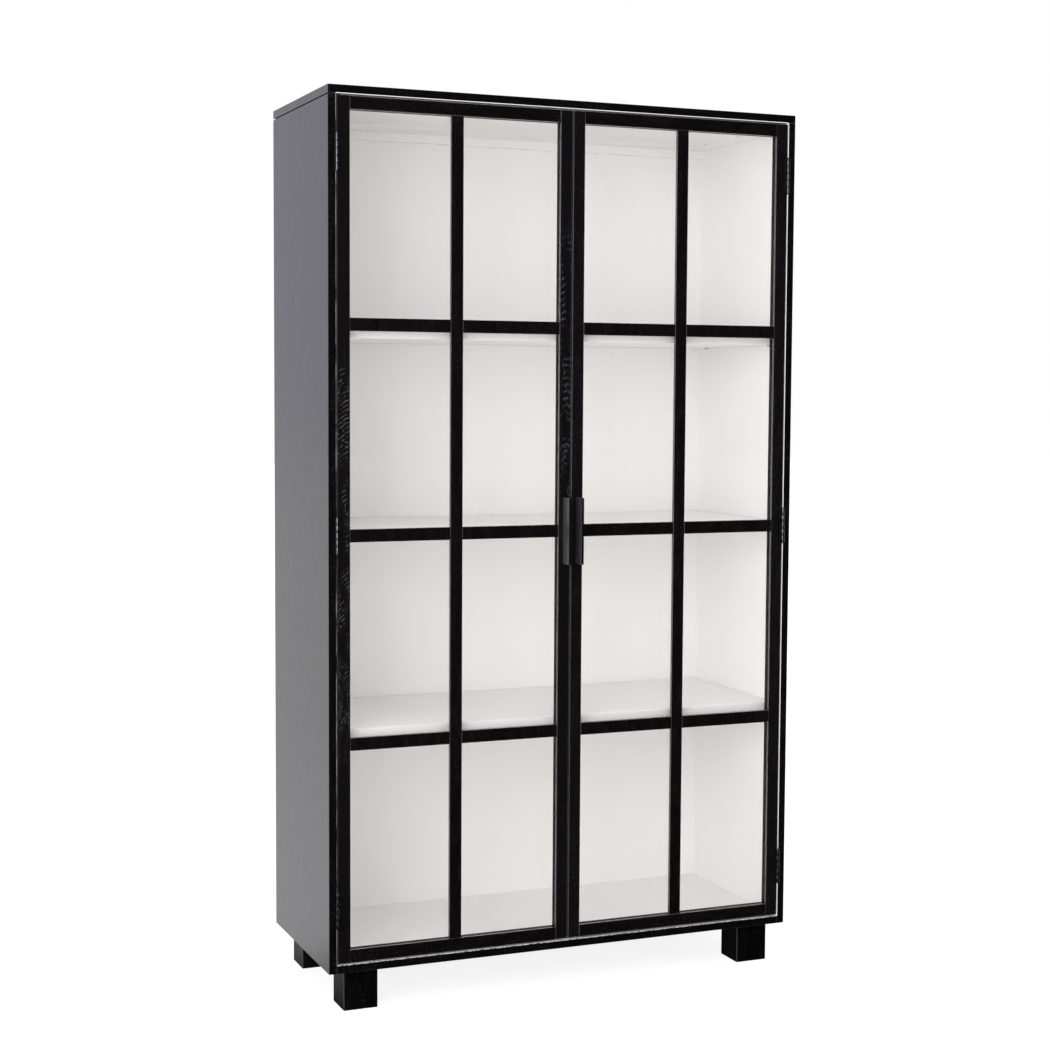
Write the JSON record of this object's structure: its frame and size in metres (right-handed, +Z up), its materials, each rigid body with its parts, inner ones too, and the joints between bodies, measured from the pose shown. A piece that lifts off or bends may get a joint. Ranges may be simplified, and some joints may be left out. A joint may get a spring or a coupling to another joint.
{
  "type": "glazed display cabinet",
  "caption": "Tall free-standing display cabinet on block feet, with a white interior and shelves behind a pair of hinged doors glazed in small panes.",
  "frame": {"origin": "on the floor, under the middle of the whole cabinet with its handles", "axes": "+Z up; -Y is the front, where the doors open; +X to the right of someone facing the doors"},
  "size_m": [1.13, 0.474, 2],
  "materials": {
    "black_board": "black-stained oak veneer on board, matt lacquer",
    "black_oak": "black-stained solid oak, satin lacquer",
    "white_board": "white melamine facing, matt",
    "glass": "clear float glass",
    "handle_steel": "black powder coat, satin",
    "hinge_steel": "black coated steel",
    "black_screw": "black phosphated steel",
    "zinc_steel": "zinc plated",
    "white_plastic": "white moulded plastic",
    "beech_dowel": "plain beech"
  },
  "bodies": {
    "carcass": {"top_panel": "black_board", "bottom_panel": "black_board", "side_panel_left": "black_board", "side_panel_right": "black_board", "back_panel": "black_board", "ceiling_board": "white_board", "back_batten": "white_board", "top_facing": "white_board", "floor_facing": "white_board", "side_facing_left": "white_board", "side_facing_right": "white_board", "back_facing": "white_board", "shelf_upper": "white_board", "shelf_middle": "white_board", "shelf_lower": "white_board", "shelf_pins": "zinc_steel", "foot_front_left": "black_oak", "foot_front_right": "black_oak", "foot_back_left": "black_oak", "foot_back_right": "black_oak", "foot_bolts": "zinc_steel", "foot_inserts": "zinc_steel", "carcass_dowels": "beech_dowel", "top_screws": "black_screw", "back_screws": "black_screw", "magnetic_catches": "white_plastic", "catch_magnets": "zinc_steel", "catch_screws": "black_screw", "left_hinge_case_leaves": "hinge_steel", "right_hinge_case_leaves": "hinge_steel", "hinge_pins": "hinge_steel", "hinge_case_screws": "black_screw"},
    "left_door": {"left_door_hinge_stile": "black_oak", "left_door_meeting_stile": "black_oak", "left_door_top_rail": "black_oak", "left_door_bottom_rail": "black_oak", "left_door_upright_bar": "black_oak", "left_door_cross_bars": "black_oak", "left_door_glass": "glass", "left_door_glazing_beads": "black_oak", "left_door_hinge_leaves": "hinge_steel", "left_door_hinge_screws": "black_screw", "left_door_handle": "handle_steel", "left_door_handle_screws": "black_screw", "left_door_strike_plate": "zinc_steel"},
    "right_door": {"right_door_hinge_stile": "black_oak", "right_door_meeting_stile": "black_oak", "right_door_top_rail": "black_oak", "right_door_bottom_rail": "black_oak", "right_door_upright_bar": "black_oak", "right_door_cross_bars": "black_oak", "right_door_glass": "glass", "right_door_glazing_beads": "black_oak", "right_door_hinge_leaves": "hinge_steel", "right_door_hinge_screws": "black_screw", "right_door_handle": "handle_steel", "right_door_handle_screws": "black_screw", "right_door_strike_plate": "zinc_steel"}
  },
  "joints": [
    {"name": "left_door_hinge", "type": "hinge", "parent": "carcass", "child": "left_door", "pos_m": [-0.5458, -0.2072, 1.045], "axis": [0, 0, -1], "range_deg": [0, 170]},
    {"name": "right_door_hinge", "type": "hinge", "parent": "carcass", "child": "right_door", "pos_m": [0.5458, -0.2072, 1.045], "axis": [0, 0, 1], "range_deg": [0, 170]}
  ]
}
